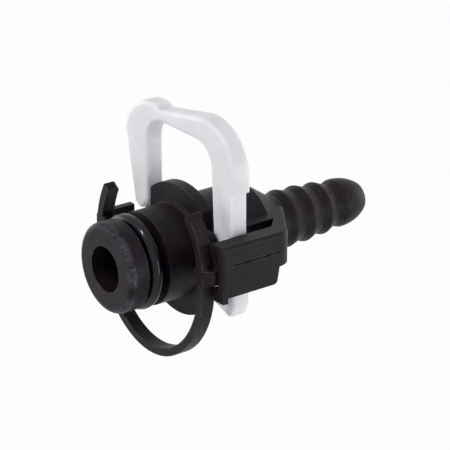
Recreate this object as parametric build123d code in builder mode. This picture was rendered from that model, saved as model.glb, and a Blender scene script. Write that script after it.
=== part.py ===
from build123d import *
import math
import os

# Hose coupling with a sealed spigot, a hose barb and a sliding locking clip.
# Millimetres. The tube axis runs along +X from the spigot's front face, whose centre
# is the origin, to the barb's tip. The clip slides along Z: down locks, up releases.
# It is drawn released, with the catch of its long leg against the housing.

# ---- spigot and seal -------------------------------------------------------
bore_radius = 4.5
core_wall = 1.5
nose_radius = 8.8
nose_edge_radius = 1.2
nose_land = 4.0
groove_width = 4.5
groove_depth = 2.2
seal_section_radius = 1.31
seal_front_gap = 0.75
seal_seat_clearance = 0.02
neck_step = 0.3
collar_length = 0.9

# ---- flange: two ears, above and below the tube ----------------------------
flange_front = 16.4
flange_thickness = 2.3
flange_height = 3.95
flange_half_width = 8.4
flange_corner_radius = 0.9

# ---- tube behind the flange, and hose barb ---------------------------------
tube_step = 0.45
tube_end = 32.3
cone_end = 38.3
root_radius = 5.5
crest_radii = [5.85, 5.7, 5.35, 4.85]
crest_first = 41.3
crest_pitch = 4.5
crest_rise = 1.8
valley_depth = 0.65
tooth_round = 0.7
barb_nose_length = 5.85
barb_nose_bulge = 0.35
barb_nose_bulge_place = 0.6
barb_tip_radius = 3.0
barb_tip_round = 0.4
barb_bore_radius = 2.2
barb_bore_start = 31.0
bore_step_length = 2.5

# ---- locking clip ----------------------------------------------------------
clip_setback = 0.5
clip_depth = 3.8
clip_edge_radius = 0.5
leg_gap = 0.75
leg_lean = 0.45
lean_margin = 1.0
long_leg_width = 6.1
long_leg_end = -9.0
tip_inset = 0.4
tip_round = 1.0
lead_in_length = 1.7
shoulder_step = 1.0
shoulder_length = 1.3
catch_step = 0.9
catch_taper = 2.6
clip_travel = 8.25
stop_clearance = 0.1
short_leg_width = 4.4
short_leg_end = 3.8
short_leg_tip_width = 2.5
short_leg_tip_rise = 1.2
short_leg_lead_in = 2.4
bail_top = 28.2
bail_thickness = 4.6
bail_inner_corner = 4.8
bail_peak_place = -6.0
bail_round_inset = 2.8
thumb_side_width = 7.3
thumb_side_drop = 8.6
thumb_round_inset = 1.6
thumb_round_drop = 4.8
thumb_top_drop = 1.4
thumb_top_length = 1.5
thumb_top_fall = 0.1
thumb_step_height = 0.9
thumb_step_place = 7.5
thumb_step_round = 1.15
outline_join_round = 2.0
grip_edge_radius = 0.8

# ---- guide housing, on the -Y side of the tube -----------------------------
housing_top = 7.75
housing_bottom = -2.25
housing_front = 12.2
housing_rear = 25.3
housing_wall = 1.5
housing_edge_radius = 0.7
housing_lower_radius = 0.9
wall_end_draft = 0.6
wall_front_radius = 0.4
lip_clearance = 0.4
lip_width = 2.1
lip_height = 1.2
ledge_top = 5.65
ledge_clearance = 0.4
corner_radius = 3.6
corner_turn = 60.0
corner_bottom = 1.1
slot_near_reach = 0.8
slot_far_reach = 7.4
slot_corner_round = 0.5
foot_depth = 1.05
foot_length = 1.2
foot_width = 2.8
scribe_height = 4.05
scribe_start = 13.9
scribe_width = 0.3
front_rib_thickness = 1.0
front_rib_reach = 2.4
front_rib_top = 7.2
front_rib_bottom = -2.0
front_rib_radius = 1.5
front_rib_knee = 5.0
side_rib_thickness = 2.3
side_rib_top = 6.2
side_rib_knee = 14.1
side_rib_drop = 2.1
side_rib_outer = 17.7
side_rib_rim_top = 1.3
side_rib_rim_bottom = 0.2

# ---- retaining ring --------------------------------------------------------
ring_front = 9.85
ring_width = 2.75
ring_half_width = 17.35
ring_half_height = 19.35
ring_drop = 0.35
ring_thickness = 1.6
ring_right_end_angle = 45.5
ring_left_end_angle = 35.5
ring_end_radius = 0.9
arm_bottom = 0.1
arm_top = 3.0
arm_width = 1.4
arm_wall_gap = 0.2
arm_end = 18.7
arm_root_depth = 2.55
socket_clearance = 0.1
socket_front = 14.4
socket_wall = 0.9

# ---- sizes that follow -----------------------------------------------------
neck_radius = nose_radius + neck_step
tube_radius = neck_radius + tube_step
groove_radius = nose_radius - groove_depth
groove_rear = nose_land + groove_width
seal_radius = groove_radius + seal_seat_clearance + seal_section_radius
seal_middle = nose_land + seal_front_gap + seal_section_radius
core_radius = bore_radius + core_wall
flange_radius = neck_radius + flange_height
crest_last = crest_first + crest_pitch * (len(crest_radii) - 1)
barb_end = crest_last + barb_nose_length
clip_front = flange_front + clip_setback
clip_rear = clip_front + clip_depth
leg_inner = tube_radius + leg_gap
long_leg_outer = leg_inner + long_leg_width
shoulder_outer = long_leg_outer + shoulder_step
shoulder_height = housing_top + clip_travel + stop_clearance
catch_outer = long_leg_outer + catch_step
catch_top = housing_bottom - stop_clearance
short_leg_outer = leg_inner + short_leg_width
thumb_side_outer = leg_inner + thumb_side_width
bail_inner_top = bail_top - bail_thickness
thumb_top = bail_top - thumb_top_drop
lip_inner = long_leg_outer + lip_clearance
wall_inner = lip_inner + lip_width
housing_outer = wall_inner + housing_wall
ledge_outer = leg_inner - ledge_clearance
slot_near_x = housing_rear + slot_near_reach
slot_far_x = housing_rear + slot_far_reach
corner_end = slot_far_x + housing_wall
wall_length = housing_rear - housing_front
wall_height = housing_top - housing_bottom
front_rib_outer = leg_inner + front_rib_reach
front_rib_rear = clip_front - ledge_clearance
side_rib_front = clip_rear + ledge_clearance
ring_rear = ring_front + ring_width
lip_front = ring_rear + lip_clearance
arm_outer = wall_inner - arm_wall_gap
arm_inner = arm_outer - arm_width
arm_root_inner = ring_half_width - arm_root_depth
socket_low = arm_bottom - socket_clearance
socket_height = arm_top - arm_bottom + 2 * socket_clearance
socket_depth = wall_inner - arm_inner + socket_clearance
socket_end = arm_end + socket_clearance

os.makedirs("parts", exist_ok=True)


def barb_teeth():
    """Valley and crest of each tooth, from the root to the tip, as (x, radius)."""
    points = []
    for index, radius in enumerate(crest_radii):
        x = crest_first + crest_pitch * index
        points.append((x - crest_rise, radius - valley_depth))
        points.append((x, radius))
    return points


def slab(low, corner, size, height):
    """A box standing on height low, from an XY corner towards +X and +Y."""
    with Locations((*corner, low)):
        Box(*size, height, align=(Align.MIN, Align.MIN, Align.MIN))


# ---- coupling body: one moulding -------------------------------------------
with BuildPart() as coupling_body:
    teeth = barb_teeth()
    nose_bulge_point = (
        crest_last + barb_nose_length * barb_nose_bulge_place,
        (crest_radii[-1] + barb_tip_radius) / 2 + barb_nose_bulge,
    )
    with BuildSketch(Plane.XZ) as section:
        with BuildLine():
            Polyline(
                (barb_end, barb_tip_radius),
                (barb_end, barb_bore_radius),
                (barb_bore_start + bore_step_length, barb_bore_radius),
                (barb_bore_start, bore_radius),
                (0, bore_radius),
                (0, nose_radius),
                (nose_land, nose_radius),
                (nose_land, groove_radius),
                (groove_rear, groove_radius),
                (groove_rear, neck_radius),
                (flange_front - collar_length, neck_radius),
                (flange_front, tube_radius),
                (tube_end, tube_radius),
                (cone_end, root_radius),
                *teeth,
            )
            ThreePointArc(teeth[-1], nose_bulge_point, (barb_end, barb_tip_radius))
        make_face()
        fillet(section.vertices().group_by(Axis.X)[0].sort_by(Axis.Y)[-1], nose_edge_radius)
        fillet(section.vertices().group_by(Axis.X)[-1].sort_by(Axis.Y)[-1], barb_tip_round)
        tooth_corners = section.vertices().filter_by(
            lambda v: any(abs(v.X - x) < 0.01 and abs(v.Y - r) < 0.01 for x, r in teeth)
        )
        fillet(tooth_corners, tooth_round)
    revolve(axis=Axis.X)

    # ledge beside the tube, shallower behind the outer wall
    slab(
        housing_bottom,
        (flange_front, -ledge_outer),
        (housing_rear - flange_front, ledge_outer - core_radius),
        ledge_top - housing_bottom,
    )
    # rear corner: rounded, then slanting in to the tube
    turn = math.radians(corner_turn)
    with BuildSketch(Plane.XY.offset(corner_bottom)):
        arc_start = Vector(housing_rear, -housing_outer)
        arc_end = arc_start + corner_radius * Vector(math.sin(turn), 1 - math.cos(turn))
        with BuildLine():
            TangentArc(arc_start, arc_end, tangent=(1, 0))
            Polyline(
                arc_end,
                (corner_end, -ledge_outer),
                (slot_far_x, -ledge_outer),
                (slot_near_x, -lip_inner),
                (housing_rear, -lip_inner),
                arc_start,
            )
        make_face()
    extrude(amount=housing_top - corner_bottom)
    with BuildSketch(Plane.XY.offset(corner_bottom)):
        with BuildLine():
            Polyline(
                (housing_rear, -core_radius),
                (corner_end, -core_radius),
                (corner_end, -ledge_outer),
                (slot_far_x - slot_corner_round, -ledge_outer - slot_corner_round),
                (slot_far_x - 2 * slot_corner_round, -ledge_outer),
                (housing_rear, -ledge_outer),
                close=True,
            )
        make_face()
    extrude(amount=ledge_top - corner_bottom)
    # outer wall, with lips above and below the arm's channel
    slab(housing_bottom, (housing_front, -housing_outer), (wall_length, housing_wall), wall_height)
    slab(
        housing_top - lip_height,
        (housing_front, -wall_inner),
        (wall_length, lip_width),
        lip_height,
    )
    slab(housing_bottom, (lip_front, -wall_inner), (housing_rear - lip_front, lip_width), lip_height)
    # the wall's outer edges are rounded
    upper_rim = edges().filter_by(
        lambda e: abs(e.center().Z - housing_top) < 0.01
        and e.center().Y < -ledge_outer - 1
        and (e.center().Y < 1 - housing_outer or e.center().X > slot_far_x - 2)
    )
    fillet(upper_rim, housing_edge_radius)
    with BuildSketch(Plane.XZ.offset(wall_inner)):
        with BuildLine():
            Polyline(
                (housing_rear, corner_bottom),
                (housing_rear - wall_end_draft, housing_bottom),
                (housing_rear, housing_bottom),
                close=True,
            )
        make_face()
    extrude(amount=housing_wall, mode=Mode.SUBTRACT)
    lower_corner = edges().filter_by(Axis.Y).filter_by(
        lambda e: abs(e.center().Z - housing_bottom) < 0.01
        and abs(e.center().X - housing_rear + wall_end_draft) < 0.01
        and e.center().Y < -wall_inner
    )
    fillet(lower_corner, housing_lower_radius)
    front_corner = edges().filter_by(Axis.Z).filter_by(
        lambda e: abs(e.center().Y + housing_outer) < 0.01
        and abs(e.center().X - housing_front) < 0.01
    )
    fillet(front_corner, wall_front_radius)
    # foot under the wall's front corner
    slab(
        housing_bottom - foot_depth,
        (housing_front, -housing_outer),
        (foot_length, foot_width),
        foot_depth + housing_wall,
    )
    # web from the front rib to the outer wall
    slab(
        housing_bottom,
        (front_rib_rear - front_rib_thickness, -wall_inner),
        (front_rib_thickness, wall_inner - front_rib_outer + front_rib_radius),
        front_rib_knee - housing_bottom,
    )
    # socket that holds the end of the ring's arm
    slab(
        socket_low - socket_wall,
        (socket_front, -wall_inner),
        (socket_end + socket_wall - socket_front, socket_depth),
        socket_height + 2 * socket_wall,
    )
    with Locations((socket_front, -arm_outer - socket_clearance, socket_low)):
        Box(
            socket_end - socket_front,
            arm_width + 2 * socket_clearance,
            socket_height,
            align=(Align.MIN, Align.MIN, Align.MIN),
            mode=Mode.SUBTRACT,
        )
    # scribed line along the outer wall
    with Locations((scribe_start, -housing_outer, scribe_height)):
        Box(
            housing_rear - scribe_start,
            scribe_width,
            scribe_width,
            align=(Align.MIN, Align.MIN, Align.CENTER),
            mode=Mode.SUBTRACT,
        )

    # the flange's two ears
    with BuildSketch(Plane.YZ.offset(flange_front)) as ears:
        Circle(flange_radius)
        Rectangle(2 * flange_half_width, 3 * flange_radius, mode=Mode.INTERSECT)
        fillet(ears.vertices(), flange_corner_radius)
        Circle(core_radius, mode=Mode.SUBTRACT)
    extrude(amount=flange_thickness)
    # rib in front of the long leg
    with BuildSketch(Plane.YZ.offset(front_rib_rear)) as front_rib:
        with Locations((-front_rib_outer, front_rib_bottom)):
            Rectangle(
                front_rib_outer - core_radius,
                front_rib_top - front_rib_bottom,
                align=(Align.MIN, Align.MIN),
            )
        fillet(front_rib.vertices().group_by(Axis.X)[0].sort_by(Axis.Y)[-1], front_rib_radius)
    extrude(amount=-front_rib_thickness)
    # sloping rib behind the short leg
    with BuildSketch(Plane.YZ.offset(side_rib_front)):
        with BuildLine():
            Polyline(
                (core_radius, side_rib_top),
                (tube_radius, side_rib_top),
                (side_rib_knee, side_rib_top - side_rib_drop),
                (side_rib_outer, side_rib_rim_top),
                (side_rib_outer, side_rib_rim_bottom),
                (core_radius, housing_bottom),
                close=True,
            )
        make_face()
    extrude(amount=side_rib_thickness)
    # the bore stays open
    with BuildSketch(Plane.YZ):
        Circle(bore_radius)
    extrude(amount=barb_bore_start, mode=Mode.SUBTRACT)
coupling_body.part.label = "coupling_body"
export_step(coupling_body.part, "parts/coupling_body.step")

# ---- seal ------------------------------------------------------------------
with BuildPart() as o_ring:
    with BuildSketch(Plane.XZ):
        with Locations((seal_middle, seal_radius)):
            Circle(seal_section_radius)
    revolve(axis=Axis.X)
o_ring.part.label = "o_ring"
export_step(o_ring.part, "parts/o_ring.step")

# ---- locking clip ----------------------------------------------------------
with BuildPart() as locking_clip:
    with BuildSketch(Plane.YZ.offset(clip_front)) as clip_outline:
        with BuildLine():
            right_shoulder = ThreePointArc(
                (-shoulder_outer, shoulder_height + shoulder_length),
                (bail_round_inset - shoulder_outer, bail_top - bail_round_inset),
                (bail_peak_place, bail_top),
            )
            left_shoulder = ThreePointArc(
                (thumb_step_place + thumb_top_length, thumb_top - thumb_top_fall),
                (thumb_side_outer - thumb_round_inset, bail_top - thumb_round_drop),
                (thumb_side_outer, bail_top - thumb_side_drop),
            )
            Polyline(
                right_shoulder @ 1,
                (thumb_step_place - thumb_step_height, thumb_top - thumb_step_height),
                (thumb_step_place, thumb_top),
                left_shoulder @ 0,
            )
            Polyline(
                left_shoulder @ 1,
                (short_leg_outer, short_leg_end + short_leg_tip_rise),
                (leg_inner + short_leg_tip_width, short_leg_end),
                (leg_inner, short_leg_end + short_leg_lead_in),
                (leg_inner, bail_inner_top),
                (leg_lean - leg_inner, bail_inner_top),
                (-leg_lean - leg_inner, ledge_top + lean_margin),
                (-leg_lean - leg_inner, long_leg_end + lead_in_length),
                (tip_inset - long_leg_outer, long_leg_end),
                (-catch_outer, long_leg_end + catch_taper),
                (-catch_outer, catch_top),
                (-long_leg_outer, catch_top),
                (-long_leg_outer, shoulder_height),
                (-shoulder_outer, shoulder_height),
                right_shoulder @ 0,
            )
        make_face()
        # rounded corners: under the bail, on the thumb step, along the top and at the tips
        bail_corners = clip_outline.vertices().filter_by(
            lambda v: abs(v.Y - bail_inner_top) < 0.01 and abs(v.X) < leg_inner + 0.01
        )
        fillet(bail_corners, bail_inner_corner)
        thumb_corners = clip_outline.vertices().filter_by(
            lambda v: v.Y > bail_inner_top and abs(v.X - thumb_step_place + 0.5) < 1
        )
        fillet(thumb_corners, thumb_step_round)
        bail_peak = clip_outline.vertices().sort_by(Axis.Y)[-1]
        outer_joins = clip_outline.vertices().filter_by(
            lambda v: abs(v.X - thumb_step_place - thumb_top_length) < 0.01
            or (v.X > short_leg_outer and v.Y < bail_inner_top)
        )
        fillet([bail_peak, *outer_joins], outline_join_round)
        tip_corners = clip_outline.vertices().filter_by(
            lambda v: v.Y < catch_top - 0.5 or short_leg_end - 0.5 < v.Y < short_leg_end + 3
        )
        fillet(tip_corners, tip_round)
    extrude(amount=clip_depth)
    # the front's outer rim above the shoulder is rounder than the other edges
    front_rim = faces().sort_by(Axis.X)[0].outer_wire().edges()
    grip_rim = front_rim.filter_by(
        lambda e: (e.center().Z > shoulder_height + 0.2 or e.center().Y > leg_inner + 0.2)
        and not (abs(e.center().Y) < leg_inner + 0.01 and e.center().Z < bail_inner_top + 0.01)
    )
    fillet(grip_rim, grip_edge_radius)
    flat_rims = edges().filter_by(
        lambda e: abs(e.center().X - clip_rear) < 0.001
        or (
            abs(e.center().X - clip_front) < 0.001
            and abs(e.center().Y) < leg_inner + 0.5
            and e.center().Z < bail_inner_top + 0.01
            and (e.center().Y < 0 or e.center().Z > short_leg_end + 3)
        )
    )
    fillet(flat_rims, clip_edge_radius)
locking_clip.part.label = "locking_clip"
export_step(locking_clip.part, "parts/locking_clip.step")

# ---- retaining ring --------------------------------------------------------
with BuildPart() as retaining_ring:
    right = math.radians(ring_right_end_angle)
    left = math.radians(ring_left_end_angle)
    reach = 2 * ring_half_height
    with BuildSketch(Plane.YZ.offset(ring_front)):
        with Locations((0, -ring_drop)):
            Ellipse(ring_half_width, ring_half_height)
            Ellipse(
                ring_half_width - ring_thickness,
                ring_half_height - ring_thickness,
                mode=Mode.SUBTRACT,
            )
        with BuildLine():
            Polyline(
                (0, -ring_drop),
                (reach * math.cos(left), reach * math.sin(left)),
                (0, 2 * reach),
                (-reach * math.cos(right), reach * math.sin(right)),
                close=True,
            )
        make_face(mode=Mode.SUBTRACT)
    extrude(amount=ring_width)
    left_tip = faces().filter_by(lambda f: f.center().Y > 0 and f.center().Z > 0)
    left_tip = left_tip.filter_by(GeomType.PLANE).sort_by(Axis.Z)[-1]
    fillet(left_tip.edges().sort_by(Axis.X)[-1], ring_end_radius)
    with BuildSketch(Plane.XY.offset(arm_bottom)):
        with BuildLine():
            Polyline(
                (ring_front, -arm_root_inner),
                (ring_front, -ring_half_width),
                (ring_front + arm_outer - ring_half_width, -arm_outer),
                (arm_end, -arm_outer),
                (arm_end, -arm_inner),
                (ring_rear, -arm_inner),
                (ring_rear, -arm_root_inner),
                close=True,
            )
        make_face()
        mirror(about=Plane.XZ)
    extrude(amount=arm_top - arm_bottom)
retaining_ring.part.label = "retaining_ring"
export_step(retaining_ring.part, "parts/retaining_ring.step")
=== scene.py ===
"""Looks of the quick disconnect coupling: materials, lighting and the camera."""

import math

import bpy
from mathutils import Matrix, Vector


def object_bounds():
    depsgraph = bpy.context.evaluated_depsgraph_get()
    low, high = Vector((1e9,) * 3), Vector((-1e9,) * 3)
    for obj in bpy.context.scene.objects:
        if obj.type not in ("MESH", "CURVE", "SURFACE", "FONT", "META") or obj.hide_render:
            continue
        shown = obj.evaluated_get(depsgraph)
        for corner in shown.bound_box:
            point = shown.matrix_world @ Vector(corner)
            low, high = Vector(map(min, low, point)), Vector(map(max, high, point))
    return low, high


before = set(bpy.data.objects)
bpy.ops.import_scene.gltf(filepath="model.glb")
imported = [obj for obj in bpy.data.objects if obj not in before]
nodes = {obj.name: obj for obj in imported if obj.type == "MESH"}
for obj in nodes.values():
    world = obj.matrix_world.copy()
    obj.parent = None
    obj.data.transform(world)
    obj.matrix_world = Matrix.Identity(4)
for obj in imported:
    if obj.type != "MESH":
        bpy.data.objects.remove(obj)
cad_low, cad_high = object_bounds()
size = cad_high - cad_low

MM = 0.001
WHITE = (1.0, 1.0, 1.0, 1.0)

# ---- camera: a turn, a distance and a shift about the spigot's front face --
AZIMUTH = math.radians(-36.77)
ELEVATION = math.radians(22.6)
CAMERA_DISTANCE = 434.7 * MM
CAMERA_RIGHT = 22.32 * MM
CAMERA_UP = 8.24 * MM
FIELD_OF_VIEW = math.radians(11.0)
SENSOR_WIDTH = 36.0
NEAREST_SEEN = 0.01
FARTHEST_SEEN = 20.0

# ---- light -----------------------------------------------------------------
LAMP_DISTANCE = 0.5
LAMP_COLOUR = (0.95, 0.95, 1.0)
# Each lamp's name, its way off from the object as shares of the camera's back,
# right and up, its width and height in metres, and its power in watts.
LAMPS = (
    ("key", (0.9, -0.7, 0.9), 0.06, 0.14, 1.1),
    ("right_fill", (0.45, 1.0, -0.3), 0.3, 0.3, 1.5),
    ("left_fill", (0.5, -1.0, -0.35), 0.3, 0.3, 0.75),
    ("right_rim", (-0.6, 1.0, 0.3), 0.3, 0.3, 0.5),
    ("left_rim", (-0.6, -1.0, 0.3), 0.3, 0.3, 0.5),
)
SKY_LIGHT = 0.42
SKY_SEEN = 1.0

# ---- floor -----------------------------------------------------------------
FLOOR_PAINT = (0.8, 0.8, 0.8, 1.0)
FLOOR_GLOW = 1.0
FLOOR_GLOW_SHARE = 0.97
FLOOR_HALF_WIDTH = 12 * size.length

# ---- nylon: noise scales per metre, then colours, wear and a painted rim highlight ---
NYLON_CLOUD = 220.0
NYLON_GRAIN = 2400.0
NYLON_FLECK = 2600.0
NYLON_SCUFF = 700.0
NYLON_SCRATCH = 1300.0
NYLON_DARK = (0.0042, 0.0024, 0.0042)
NYLON_LIGHT = (0.0105, 0.007, 0.0102)
FLECK_COLOUR = (0.043, 0.035, 0.043)
FLECK_AMOUNT = 0.45
WORN_COLOUR = (0.14, 0.135, 0.145)
WORN_RADIUS = 0.35 * MM
WORN_BEND = 0.3
WORN_AMOUNT = 0.8
# Spigot front rim: rubbed scuffs plus a painted highlight that lightens the whole rim by
# at least the least share.
RUBBED_AND_HIGHLIGHT_COLOUR = (0.12, 0.115, 0.13)
RIM_PAINTED_HIGHLIGHT = 0.12
RUBBED_AND_HIGHLIGHT_MOST = 0.8
RIM_START_RADIUS = 7.3 * MM
RIM_FULL_RADIUS = 8.2 * MM
RIM_START_DEPTH = 1.5 * MM
RIM_FULL_DEPTH = 0.9 * MM
NYLON_SPECULAR = 0.12

# ---- acetal ----------------------------------------------------------------
ACETAL_CLOUD = 160.0
ACETAL_GRAIN = 1800.0
ACETAL_FLOW = 90.0
ACETAL_DARK = (0.67, 0.665, 0.68)
ACETAL_LIGHT = (0.76, 0.755, 0.76)
FLOW_COLOUR = (0.82, 0.81, 0.81)
FLOW_AMOUNT = 0.10
MILKINESS = 0.7
MILK_DEPTH = 2.4 * MM
ACETAL_SPECULAR = 0.45

# ---- rubber ----------------------------------------------------------------
RUBBER_FILM = 260.0
RUBBER_DUST = 2800.0
RUBBER_DARK = (0.003, 0.0018, 0.0045)
DUST_COLOUR = (0.014, 0.011, 0.017)
RUBBER_SPECULAR = 0.08
FILM_WEIGHT = 0.35
FILM_ROUGHNESS = 0.07

# Sockets of the Mix node that are used for colours.
MIX_AMOUNT, MIX_FIRST, MIX_SECOND = 0, 6, 7
MIX_RESULT = 2


def grey(level):
    return (level, level, level)


# ---- nodes -----------------------------------------------------------------
def shader_tree(name):
    """A new material, its tree and the Principled shader in it."""
    material = bpy.data.materials.new(name)
    material.use_nodes = True
    tree = material.node_tree
    return material, tree, tree.nodes["Principled BSDF"]


def add(tree, kind, **values):
    """A node whose sockets or settings take the given values."""
    node = tree.nodes.new(kind)
    for key, value in values.items():
        if key in node.inputs:
            node.inputs[key].default_value = value
        else:
            setattr(node, key, value)
    return node


def place(tree):
    """Where a point is on the object, in metres."""
    return add(tree, "ShaderNodeTexCoord").outputs["Object"]


def noise(tree, where, scale, detail=4.0, roughness=0.55):
    texture = add(
        tree,
        "ShaderNodeTexNoise",
        Scale=scale,
        Detail=detail,
        Roughness=roughness,
    )
    tree.links.new(where, texture.inputs["Vector"])
    return texture.outputs["Fac"]


def ramp(tree, value, stops):
    """A colour ramp with (position, colour) stops."""
    node = add(tree, "ShaderNodeValToRGB")
    elements = node.color_ramp.elements
    while len(elements) < len(stops):
        elements.new(0.5)
    for element, (position, colour) in zip(elements, stops):
        element.position = position
        element.color = (*colour, 1.0)
    tree.links.new(value, node.inputs["Fac"])
    return node.outputs["Color"]


def span(tree, value, low, high):
    """A value from 0 to 1 spread over low to high."""
    node = add(tree, "ShaderNodeMapRange")
    node.inputs["To Min"].default_value = low
    node.inputs["To Max"].default_value = high
    tree.links.new(value, node.inputs["Value"])
    return node.outputs["Result"]


def fade(tree, value, start, end):
    """0 at start and 1 at end, smoothly."""
    node = add(tree, "ShaderNodeMapRange", interpolation_type="SMOOTHSTEP")
    node.inputs["From Min"].default_value = min(start, end)
    node.inputs["From Max"].default_value = max(start, end)
    node.inputs["To Min"].default_value = 0.0 if start < end else 1.0
    node.inputs["To Max"].default_value = 1.0 if start < end else 0.0
    tree.links.new(value, node.inputs["Value"])
    return node.outputs["Result"]


def maths(tree, operation, first, second):
    node = add(tree, "ShaderNodeMath", operation=operation)
    for socket, value in zip(node.inputs, (first, second)):
        if isinstance(value, (int, float)):
            socket.default_value = value
        else:
            tree.links.new(value, socket)
    return node.outputs["Value"]


def mix(tree, amount, first, second):
    """Colour first where amount is 0, second where it is 1."""
    node = add(tree, "ShaderNodeMix", data_type="RGBA")
    tree.links.new(amount, node.inputs[MIX_AMOUNT])
    tree.links.new(first, node.inputs[MIX_FIRST])
    node.inputs[MIX_SECOND].default_value = (*second, 1.0)
    return node.outputs[MIX_RESULT]


def bump(tree, shader, layers):
    """Bump from (height, distance in metres) layers, one over the other."""
    below = None
    for height, distance in layers:
        node = add(tree, "ShaderNodeBump", Strength=1.0, Distance=distance)
        tree.links.new(height, node.inputs["Height"])
        if below is not None:
            tree.links.new(below, node.inputs["Normal"])
        below = node.outputs["Normal"]
    tree.links.new(below, shader.inputs["Normal"])


def worn_edge(tree, radius, threshold):
    """1 near convex edges, from how the bevelled normal leaves the true one."""
    bevel = add(tree, "ShaderNodeBevel", Radius=radius, samples=6)
    geometry = add(tree, "ShaderNodeNewGeometry")
    compare = add(tree, "ShaderNodeVectorMath", operation="DOT_PRODUCT")
    tree.links.new(bevel.outputs["Normal"], compare.inputs[0])
    tree.links.new(geometry.outputs["Normal"], compare.inputs[1])
    bend = maths(tree, "SUBTRACT", 1.0, compare.outputs["Value"])
    return maths(tree, "MINIMUM", maths(tree, "DIVIDE", bend, threshold), 1.0)


def nose_rim(tree, where):
    """1 on the rounded rim of the spigot's front, which rubs when pushed home; the rim
    takes scuffs and a painted highlight.
    """
    axes = add(tree, "ShaderNodeSeparateXYZ")
    tree.links.new(where, axes.inputs["Vector"])
    across = add(tree, "ShaderNodeCombineXYZ")
    tree.links.new(axes.outputs["Y"], across.inputs["Y"])
    tree.links.new(axes.outputs["Z"], across.inputs["Z"])
    radius = add(tree, "ShaderNodeVectorMath", operation="LENGTH")
    tree.links.new(across.outputs["Vector"], radius.inputs[0])
    outward = fade(tree, radius.outputs["Value"], RIM_START_RADIUS, RIM_FULL_RADIUS)
    forward = fade(tree, axes.outputs["X"], RIM_START_DEPTH, RIM_FULL_DEPTH)
    return maths(tree, "MULTIPLY", outward, forward)


# ---- materials -------------------------------------------------------------
def black_nylon():
    """Glass-filled nylon: satin, with moulded grain, pale flecks and scuffs, and a painted
    highlight on the spigot's front rim.
    """
    material, tree, shader = shader_tree("moulded_nylon")
    where = place(tree)
    cloud = noise(tree, where, NYLON_CLOUD, detail=5.0)
    grain = noise(tree, where, NYLON_GRAIN, detail=6.0, roughness=0.7)
    fleck = noise(tree, where, NYLON_FLECK, detail=4.0, roughness=0.7)
    scuff = noise(tree, where, NYLON_SCUFF, detail=6.0, roughness=0.65)
    scratch = noise(tree, where, NYLON_SCRATCH, detail=8.0, roughness=0.8)

    base = ramp(tree, cloud, [(0.3, NYLON_DARK), (0.7, NYLON_LIGHT)])
    flecks = ramp(tree, fleck, [(0.5, grey(0.0)), (0.72, grey(FLECK_AMOUNT))])
    colour = mix(tree, flecks, base, FLECK_COLOUR)

    scuffs = ramp(tree, scuff, [(0.47, grey(0.0)), (0.62, grey(WORN_AMOUNT))])
    edges = worn_edge(tree, WORN_RADIUS, WORN_BEND)
    colour = mix(tree, maths(tree, "MULTIPLY", edges, scuffs), colour, WORN_COLOUR)

    # Scratches on the rim, over a floor that lightens the whole rim as a painted
    # highlight.
    scratches_and_highlight = ramp(
        tree,
        scratch,
        [(0.42, grey(RIM_PAINTED_HIGHLIGHT)), (0.68, grey(RUBBED_AND_HIGHLIGHT_MOST))],
    )
    rubbed_and_highlight = maths(tree, "MULTIPLY", nose_rim(tree, where), scratches_and_highlight)
    rubbed_and_highlight = maths(tree, "MULTIPLY", rubbed_and_highlight, fade(tree, cloud, 0.35, 0.65))
    # Painted highlight and scuffs: the spigot's front rim is lightened towards the rubbed
    # colour.
    colour = mix(tree, rubbed_and_highlight, colour, RUBBED_AND_HIGHLIGHT_COLOUR)

    tree.links.new(colour, shader.inputs["Base Color"])
    tree.links.new(span(tree, grain, 0.32, 0.56), shader.inputs["Roughness"])
    shader.inputs["Specular IOR Level"].default_value = NYLON_SPECULAR
    bump(
        tree,
        shader,
        [(cloud, 0.08 * MM), (grain, 0.03 * MM), (fleck, 0.04 * MM)],
    )
    return material


def natural_acetal():
    """Uncoloured acetal: milky, slightly translucent, with faint flow marks."""
    material, tree, shader = shader_tree("milky_acetal")
    where = place(tree)
    cloud = noise(tree, where, ACETAL_CLOUD, detail=3.0)
    grain = noise(tree, where, ACETAL_GRAIN, detail=5.0, roughness=0.6)
    flow = add(
        tree,
        "ShaderNodeTexWave",
        Scale=ACETAL_FLOW,
        Distortion=6.0,
        Detail=3.0,
    )
    flow.inputs["Detail Scale"].default_value = 1.4
    tree.links.new(where, flow.inputs["Vector"])

    base = ramp(tree, cloud, [(0.3, ACETAL_DARK), (0.7, ACETAL_LIGHT)])
    marks = span(tree, flow.outputs["Fac"], 0.0, FLOW_AMOUNT)
    tree.links.new(mix(tree, marks, base, FLOW_COLOUR), shader.inputs["Base Color"])
    tree.links.new(span(tree, grain, 0.34, 0.46), shader.inputs["Roughness"])
    shader.inputs["Subsurface Weight"].default_value = MILKINESS
    shader.inputs["Subsurface Radius"].default_value = grey(1.0)
    shader.inputs["Subsurface Scale"].default_value = MILK_DEPTH
    shader.inputs["Specular IOR Level"].default_value = ACETAL_SPECULAR
    bump(tree, shader, [(cloud, 0.04 * MM), (grain, 0.015 * MM)])
    return material


def black_rubber():
    """A lubricated black seal: wet highlights, an uneven film and a little dust."""
    material, tree, shader = shader_tree("greased_rubber")
    where = place(tree)
    film = noise(tree, where, RUBBER_FILM, detail=4.0)
    dust = noise(tree, where, RUBBER_DUST, detail=3.0, roughness=0.6)
    base = ramp(tree, dust, [(0.55, RUBBER_DARK), (0.8, DUST_COLOUR)])
    tree.links.new(base, shader.inputs["Base Color"])
    tree.links.new(span(tree, film, 0.22, 0.42), shader.inputs["Roughness"])
    shader.inputs["Specular IOR Level"].default_value = RUBBER_SPECULAR
    shader.inputs["Coat Weight"].default_value = FILM_WEIGHT
    shader.inputs["Coat Roughness"].default_value = FILM_ROUGHNESS
    bump(tree, shader, [(film, 0.05 * MM), (dust, 0.01 * MM)])
    return material


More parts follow.
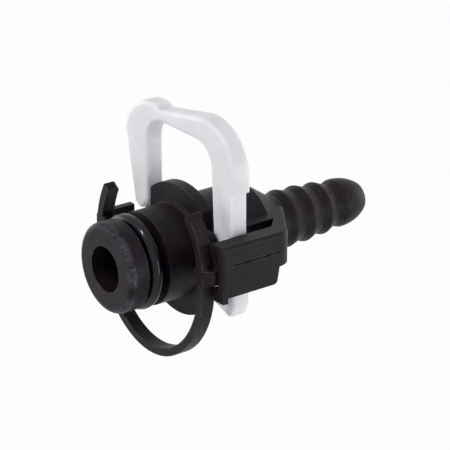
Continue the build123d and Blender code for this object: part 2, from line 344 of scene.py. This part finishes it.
nylon = black_nylon()
materials = {
    "coupling_body": nylon,
    "retaining_ring": nylon,
    "locking_clip": natural_acetal(),
    "o_ring": black_rubber(),
}
for name, material in materials.items():
    node = nodes[name]
    node.data.materials.clear()
    node.data.materials.append(material)


# ---- floor and backdrop ----------------------------------------------------
def seen_directly(tree):
    """1 for camera, glossy and transmission rays, 0 for the rest."""
    path = add(tree, "ShaderNodeLightPath")
    seen = maths(
        tree,
        "ADD",
        path.outputs["Is Camera Ray"],
        path.outputs["Is Transmission Ray"],
    )
    seen = maths(tree, "ADD", seen, path.outputs["Is Glossy Ray"])
    return maths(tree, "MINIMUM", seen, 1.0)


def blend(tree, amount, first, second, output):
    """Sends shader first to the output where amount is 0, second where it is 1."""
    node = add(tree, "ShaderNodeMixShader")
    tree.links.new(amount, node.inputs["Fac"])
    tree.links.new(first.outputs[0], node.inputs[1])
    tree.links.new(second.outputs[0], node.inputs[2])
    tree.links.new(node.outputs["Shader"], add(tree, output).inputs["Surface"])


def studio_material():
    """A pale floor that looks white but still takes the object's shadow."""
    material = bpy.data.materials.new("studio_white")
    material.use_nodes = True
    tree = material.node_tree
    tree.nodes.clear()
    paint = add(tree, "ShaderNodeBsdfDiffuse", Color=FLOOR_PAINT)
    glow = add(tree, "ShaderNodeEmission", Color=WHITE, Strength=FLOOR_GLOW)
    share = maths(tree, "MULTIPLY", seen_directly(tree), FLOOR_GLOW_SHARE)
    blend(tree, share, paint, glow, "ShaderNodeOutputMaterial")
    return material


def floor_plane(height):
    half = FLOOR_HALF_WIDTH
    mesh = bpy.data.meshes.new("floor")
    corners = [
        (-half, -half, height),
        (half, -half, height),
        (half, half, height),
        (-half, half, height),
    ]
    mesh.from_pydata(corners, [], [(0, 1, 2, 3)])
    floor = bpy.data.objects.new("floor", mesh)
    bpy.context.scene.collection.objects.link(floor)
    floor.data.materials.append(studio_material())
    return floor


floor_plane(cad_low.z - 2.5 * size.z)


# ---- camera ----------------------------------------------------------------
def aim(thing, direction):
    """Turns a camera or a lamp to face along a direction."""
    thing.rotation_mode = "QUATERNION"
    thing.rotation_quaternion = direction.to_track_quat("-Z", "Y")
    bpy.context.scene.collection.objects.link(thing)


back = Vector(
    (
        math.sin(AZIMUTH) * math.cos(ELEVATION),
        -math.cos(AZIMUTH) * math.cos(ELEVATION),
        math.sin(ELEVATION),
    )
)
right = Vector((math.cos(AZIMUTH), math.sin(AZIMUTH), 0.0))
up = back.cross(right)
target = CAMERA_RIGHT * right + CAMERA_UP * up
camera_data = bpy.data.cameras.new("camera")
camera_data.sensor_width = SENSOR_WIDTH
camera_data.lens = SENSOR_WIDTH / 2 / math.tan(FIELD_OF_VIEW / 2)
camera_data.clip_start = NEAREST_SEEN
camera_data.clip_end = FARTHEST_SEEN
camera = bpy.data.objects.new("camera", camera_data)
camera.location = target + CAMERA_DISTANCE * back
aim(camera, -back)
bpy.context.scene.camera = camera

# ---- lamps and sky ---------------------------------------------------------
middle = (cad_low + cad_high) / 2


def softbox(name, direction, width, height, watts):
    """An area light off to one side, aimed at the object's middle."""
    data = bpy.data.lights.new(name, "AREA")
    data.color = LAMP_COLOUR
    data.shape = "RECTANGLE"
    data.size = width
    data.size_y = height
    data.energy = watts
    lamp = bpy.data.objects.new(name, data)
    lamp.location = middle + LAMP_DISTANCE * direction.normalized()
    aim(lamp, middle - lamp.location)


for name, (share_back, share_right, share_up), width, height, watts in LAMPS:
    direction = share_back * back + share_right * right + share_up * up
    softbox(name, direction, width, height, watts)

world = bpy.data.worlds.new("studio")
world.use_nodes = True
bpy.context.scene.world = world
sky = world.node_tree
sky.nodes.clear()
dim = add(sky, "ShaderNodeBackground", Color=WHITE, Strength=SKY_LIGHT)
plain = add(sky, "ShaderNodeBackground", Color=WHITE, Strength=SKY_SEEN)
blend(sky, seen_directly(sky), dim, plain, "ShaderNodeOutputWorld")

bpy.context.scene.view_settings.view_transform = "Standard"
